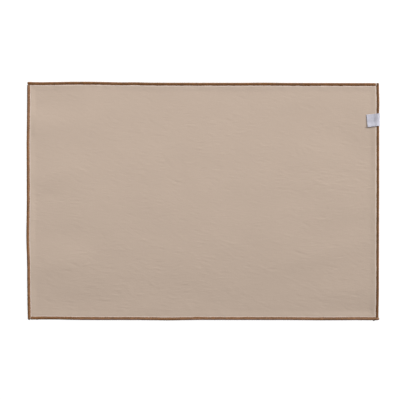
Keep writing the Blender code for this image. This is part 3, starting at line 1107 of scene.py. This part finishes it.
class EdgingSettings(bpy.types.PropertyGroup):
    colour: FloatVectorProperty(
        name="Colour", description="Usual colour of the thread", subtype="COLOR",
        default=(0.17, 0.070, 0.019), min=0.0, max=1.0,
    )
    # Painted shade: the thread ends get a very dark colour that stands for the shadow in the
    # corners where the runs meet.
    ends_painted_shade_colour: FloatVectorProperty(
        name="End colour", description="Colour of the knotted thread ends", subtype="COLOR",
        default=(0.06, 0.032, 0.016), min=0.0, max=1.0,
    )
    wrap_pitch: FloatProperty(
        name="Wrap pitch", description="From one wrap of thread to the next",
        default=0.00085, precision=5, unit="LENGTH",
    )
    wrap_lean: FloatProperty(
        name="Wrap lean", description="Wraps that a turn of thread moves on over half the roll",
        default=0.7,
    )
    groove: FloatProperty(
        name="Groove", description="Depth between two wraps", default=0.00014, precision=6,
        unit="LENGTH",
    )


class LabelSettings(bpy.types.PropertyGroup):
    colour: FloatVectorProperty(
        name="Colour", description="Usual colour of the tape", subtype="COLOR",
        default=(0.43, 0.425, 0.485), min=0.0, max=1.0,
    )
    rib_pitch: FloatProperty(
        name="Rib pitch", description="From one rib of the tape to the next",
        default=0.0004, precision=5, unit="LENGTH",
    )
    curl: FloatProperty(
        name="Curl", description="How far the face leg's front edge stands up",
        default=0.0008, precision=5, unit="LENGTH",
    )


class StudioSettings(bpy.types.PropertyGroup):
    floor_colour: FloatVectorProperty(
        name="Floor colour", description="Colour of the plain floor", subtype="COLOR",
        default=(0.14, 0.14, 0.14), min=0.0, max=1.0,
    )
    camera_height: FloatProperty(
        name="Camera height", description="Of the lens above the floor", default=1.6,
        unit="LENGTH",
    )
    key_strength: FloatProperty(
        name="Key", description="Strength of the light from the back right", default=4.5,
    )
    back_power: FloatProperty(
        name="Back", description="Power of the soft light behind the mat", default=1.95,
        unit="POWER",
    )
    sky_strength: FloatProperty(
        name="Fill", description="Strength of the even light from above", default=0.13,
    )
    ground_strength: FloatProperty(
        name="Ground", description="Strength of the light from below the horizon", default=0.2,
    )


# ==== Operators ===========================================================================
def dress(piece, slot, *nodes):
    """Says which body a piece rides on and the solids that it stands for; its slot is not used.
    """
    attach(piece, BODY)
    if nodes:
        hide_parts(*nodes)


class PLACEMAT_OT_cloth(bpy.types.Operator):
    """Lay out the washed cotton panel with its creases"""

    bl_idname = "placemat.cloth"
    bl_label = "Cloth"

    def execute(self, context):
        cloth = build_cloth(context.scene.placemat_cloth)
        dress(cloth, "cloth", "panel")
        return {"FINISHED"}


class PLACEMAT_OT_edging(bpy.types.Operator):
    """Wrap the four sides in overlocked thread, with the needle's stitches"""

    bl_idname = "placemat.edging"
    bl_label = "Edging"

    def execute(self, context):
        settings = context.scene.placemat_edging
        finish = thread_finish(settings)
        for run in RUNS:
            dress(build_edging(run, settings, finish), "edging_thread", run.name)
        # The needle line is a lighter, lit copy of the edging thread's colour: painted light.
        needle = build_needle_line(stitch_finish("needle_thread_painted_lit", settings.colour))
        dress(needle, "edging_thread")
        # The thread ends' dark colour is painted shade for the shadowed corners.
        ends = build_thread_ends(stitch_finish("loose_thread_painted_shade", settings.ends_painted_shade_colour))
        dress(ends, "edging_thread")
        return {"FINISHED"}


class PLACEMAT_OT_label(bpy.types.Operator):
    """Fold the tape label over the right-hand edging and tack it down"""

    bl_idname = "placemat.label"
    bl_label = "Label"

    def execute(self, context):
        settings = context.scene.placemat_label
        label, length = build_label(settings, tape_finish(settings))
        dress(label, "label_tape", "label")
        length * MM
        tacks = build_label_tacks(settings, stitch_finish("tack_thread", settings.colour))
        dress(tacks, "label_tape")
        return {"FINISHED"}


def aimed(light, place, at):
    """Adds a light at a place, looking at another."""
    lamp = bpy.data.objects.new(light.name, light)
    lamp.location = place
    lamp.rotation_euler = (Vector(at) - Vector(place)).to_track_quat("-Z", "Y").to_euler()
    bpy.context.scene.collection.objects.link(lamp)


class PLACEMAT_OT_stage(bpy.types.Operator):
    """Set up the plain floor, the soft lights and the camera straight above"""

    bl_idname = "placemat.stage"
    bl_label = "Studio"

    def execute(self, context):
        settings = context.scene.placemat_studio
        bm = bmesh.new()
        bmesh.ops.create_grid(bm, x_segments=1, y_segments=1, size=FLOOR_HALF)
        mesh = bpy.data.meshes.new("floor")
        bm.to_mesh(mesh)
        bm.free()
        mesh.materials.append(floor_finish(settings.floor_colour))
        floor = bpy.data.objects.new("floor", mesh)
        floor.location.z = min(0.0, CAD_BOX[0].z)
        context.scene.collection.objects.link(floor)
        floor.visible_diffuse = False
        floor.visible_glossy = False

        key = bpy.data.lights.new("key", "SUN")
        key.energy = settings.key_strength
        key.angle = KEY_SOFTNESS
        aimed(key, KEY_AT, (0.0, 0.0, 0.0))
        back = bpy.data.lights.new("back", "AREA")
        back.shape = "RECTANGLE"
        back.size, back.size_y = BACK_SIZE
        back.spread = BACK_SPREAD
        back.energy = settings.back_power
        aimed(back, BACK_AT, BACK_AIM)

        world = bpy.data.worlds.new("studio")
        world.use_nodes = True
        sky = Nodes(world.node_tree, "Background")
        sky.shader.inputs["Color"].default_value = (1.0, 1.0, 1.0, 1.0)
        up = sky.across(sky.node("ShaderNodeTexCoord"))[0].part(2)
        above = sky.ramp(up, 0.12, 0.2, 1.0, settings.sky_strength)
        below = sky.ramp(up, -0.2, -0.1, settings.ground_strength, 1.0)
        sky.feed("Strength", above.math("MINIMUM", below))
        context.scene.world = world
        context.scene.view_settings.view_transform = "Standard"

        lens = bpy.data.cameras.new("camera")
        middle = (PHOTO_PIXELS - 1) / 2
        x = MAT_MIDDLE[0] + (middle - MIDDLE_PIXEL[0]) * PIXEL
        y = MAT_MIDDLE[1] - (middle - MIDDLE_PIXEL[1]) * PIXEL
        distance = settings.camera_height / MM - EDGING_HEIGHT
        lens.sensor_width = SENSOR
        lens.lens = SENSOR * distance / (PHOTO_PIXELS * PIXEL)
        camera = bpy.data.objects.new("camera", lens)
        camera.location = (x * MM, y * MM, settings.camera_height)
        context.scene.collection.objects.link(camera)
        context.scene.camera = camera
        return {"FINISHED"}


class PLACEMAT_PT_sidebar(bpy.types.Panel):
    """Lists the placemat's settings and the steps that build it"""

    bl_idname = "PLACEMAT_PT_sidebar"
    bl_label = "Placemat"
    bl_space_type = "VIEW_3D"
    bl_region_type = "UI"
    bl_category = "Placemat"

    def draw(self, context):
        for group, operator in STEPS:
            box = self.layout.box()
            settings = getattr(context.scene, group)
            for name in settings.__annotations__:
                box.prop(settings, name)
            box.operator(operator)


STEPS = (
    ("placemat_cloth", PLACEMAT_OT_cloth.bl_idname),
    ("placemat_edging", PLACEMAT_OT_edging.bl_idname),
    ("placemat_label", PLACEMAT_OT_label.bl_idname),
    ("placemat_studio", PLACEMAT_OT_stage.bl_idname),
)
GROUPS = (ClothSettings, EdgingSettings, LabelSettings, StudioSettings)
CLASSES = (
    *GROUPS,
    PLACEMAT_OT_cloth,
    PLACEMAT_OT_edging,
    PLACEMAT_OT_label,
    PLACEMAT_OT_stage,
    PLACEMAT_PT_sidebar,
)


def register():
    for thing in CLASSES:
        bpy.utils.register_class(thing)
    for (name, _), group in zip(STEPS, GROUPS):
        setattr(bpy.types.Scene, name, PointerProperty(type=group))


def unregister():
    for name, _ in STEPS:
        delattr(bpy.types.Scene, name)
    for thing in reversed(CLASSES):
        bpy.utils.unregister_class(thing)


def main():
    """Builds everything in order."""
    register()
    bpy.ops.placemat.cloth()
    bpy.ops.placemat.edging()
    bpy.ops.placemat.label()
    bpy.ops.placemat.stage()


if __name__ == "__main__":
    main()
